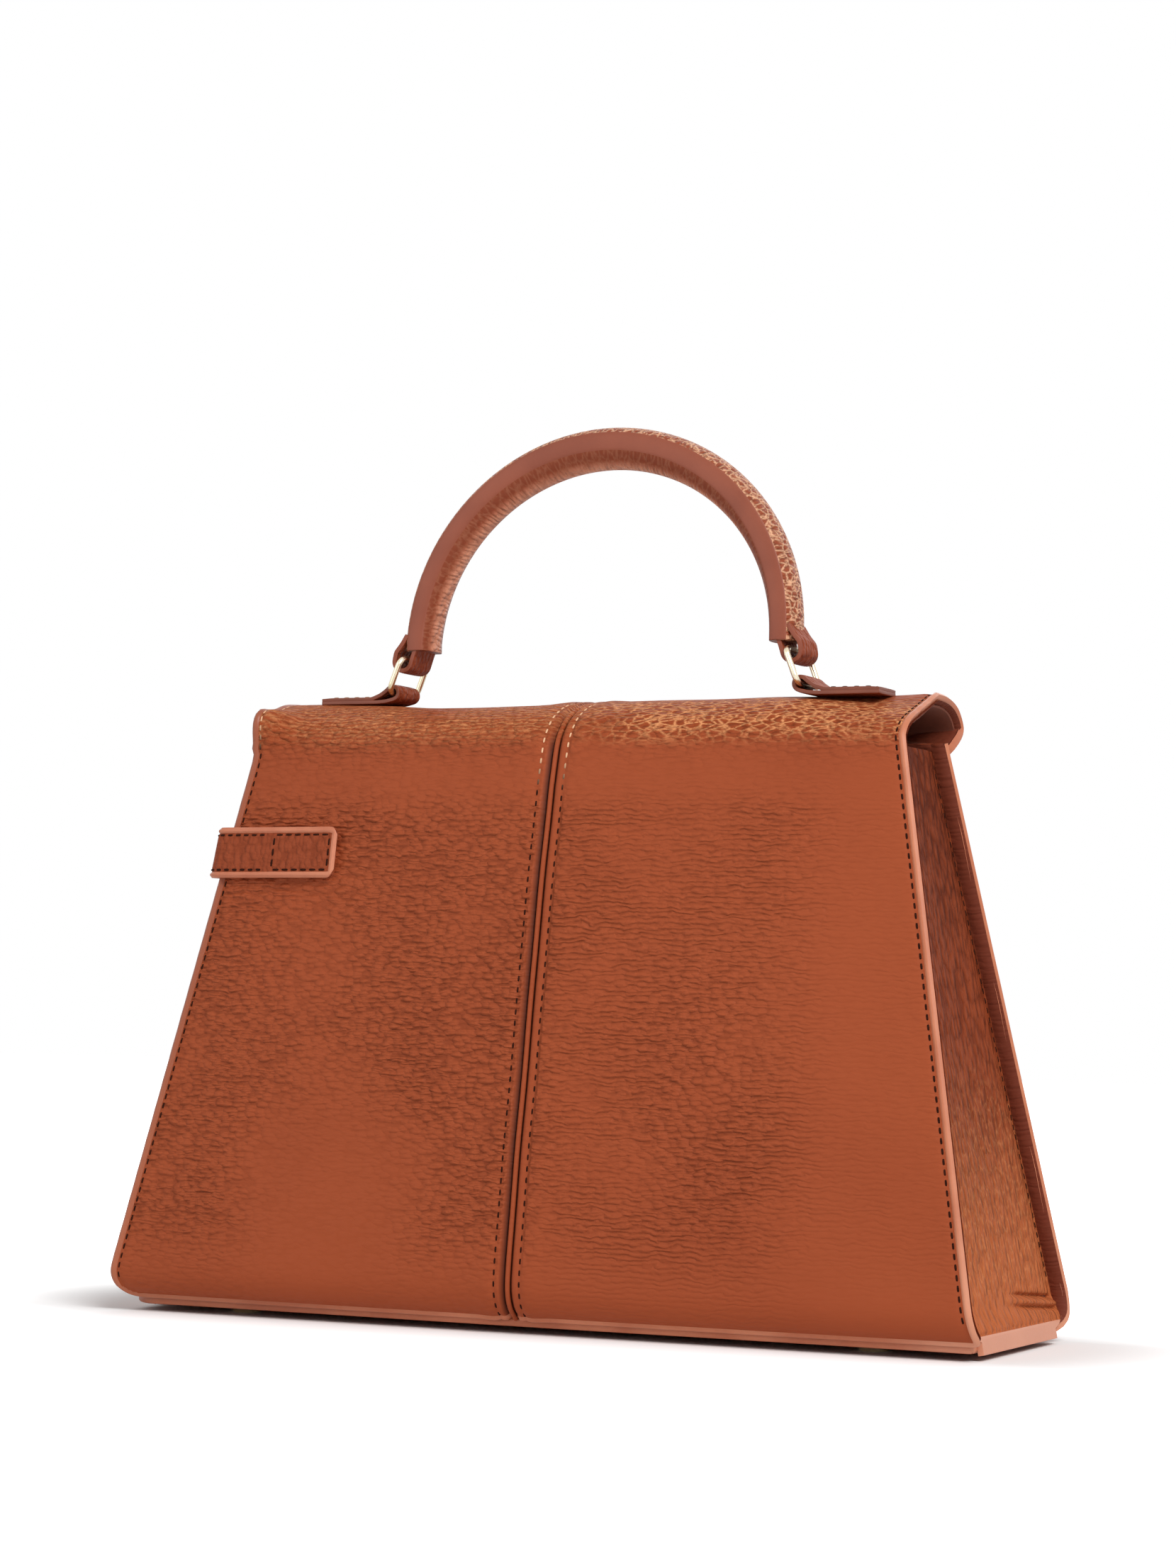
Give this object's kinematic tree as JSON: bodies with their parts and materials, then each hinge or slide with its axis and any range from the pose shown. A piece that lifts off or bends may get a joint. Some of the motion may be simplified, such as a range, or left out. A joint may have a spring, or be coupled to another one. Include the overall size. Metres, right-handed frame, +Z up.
{
  "type": "top handle bag",
  "caption": "Structured leather top handle bag: a trapezoid body with a fold-over flap, an arched handle on metal rings and a side strap that closes on a turn lock.",
  "frame": {"origin": "on the floor under the middle of the bag, in the plane that the feet stand on", "axes": "+Z up; the front with the turn lock faces -Y and the plain back faces +Y; the bag's left side, with the closing strap, is +X"},
  "size_m": [0.2606, 0.0838, 0.2562],
  "materials": {
    "grained_leather": "grained, soft sheen",
    "painted_edge_leather": "smooth painted edge",
    "smooth_leather": "smooth, satin",
    "lining_cloth": "matt",
    "cord_core": "matt",
    "stiff_board": "matt pressed board",
    "pale_gold_metal": "polished"
  },
  "bodies": {
    "bag_body": {"rear_panel_left": "grained_leather", "rear_panel_right": "grained_leather", "rear_welt": "painted_edge_leather", "front_panel_left": "grained_leather", "front_panel_right": "grained_leather", "front_welt": "painted_edge_leather", "gusset_left": "grained_leather", "gusset_right": "grained_leather", "base_panel": "painted_edge_leather", "base_board": "stiff_board", "feet": "pale_gold_metal", "foot_washers": "pale_gold_metal", "lining": "lining_cloth", "inner_pocket": "smooth_leather", "strap_anchor": "grained_leather"},
    "flap": {"flap_left": "grained_leather", "flap_right": "grained_leather", "flap_welt": "painted_edge_leather", "flap_lining": "lining_cloth", "flap_hinge_roll": "grained_leather", "handle_tab_left": "smooth_leather", "handle_tab_right": "smooth_leather", "turn_lock_base": "pale_gold_metal", "turn_lock_backing": "pale_gold_metal"},
    "closure_tongue": {"strap_tongue": "grained_leather", "slot_plate": "pale_gold_metal"},
    "ring_left": {"ring_left": "pale_gold_metal"},
    "ring_right": {"ring_right": "pale_gold_metal"},
    "handle": {"handle_outer": "grained_leather", "handle_inner": "grained_leather", "handle_core": "cord_core", "handle_loop_left": "smooth_leather", "handle_loop_right": "smooth_leather"},
    "lock_knob": {"turn_lock_knob": "pale_gold_metal"}
  },
  "joints": [
    {"name": "flap_hinge", "type": "hinge", "parent": "bag_body", "child": "flap", "pos_m": [0, 0.0156, 0.1636], "axis": [-1, 0, 0], "range_deg": [0, 90]},
    {"name": "tongue_swing", "type": "hinge", "parent": "bag_body", "child": "closure_tongue", "pos_m": [0.10958, -0.02619, 0.132], "axis": [0, 0, 1], "range_deg": [0, 162]},
    {"name": "ring_left_swing", "type": "hinge", "parent": "flap", "child": "ring_left", "pos_m": [0.064, -0.004, 0.17965], "axis": [0, 1, 0], "range_deg": [-15, 15]},
    {"name": "handle_pivot", "type": "hinge", "parent": "ring_left", "child": "handle", "pos_m": [0.0602, -0.004, 0.18955], "axis": [0, 1, 0], "range_deg": [-16, 16]},
    {"name": "ring_right_swing", "type": "hinge", "parent": "flap", "child": "ring_right", "pos_m": [-0.064, -0.004, 0.17965], "axis": [0, 1, 0], "range_deg": [-15.2, 15.2]},
    {"name": "turn_lock", "type": "hinge", "parent": "flap", "child": "lock_knob", "pos_m": [0, -0.031, 0.132], "axis": [0, -1, 0], "range_deg": [0, 90]}
  ],
  "couplings": [
    {"joint": "tongue_swing", "follows": "flap_hinge", "ratio": 1.8},
    {"joint": "handle_pivot", "follows": "ring_left_swing", "ratio": -1.0644},
    {"joint": "ring_right_swing", "follows": "ring_left_swing", "ratio": 1.0079}
  ]
}
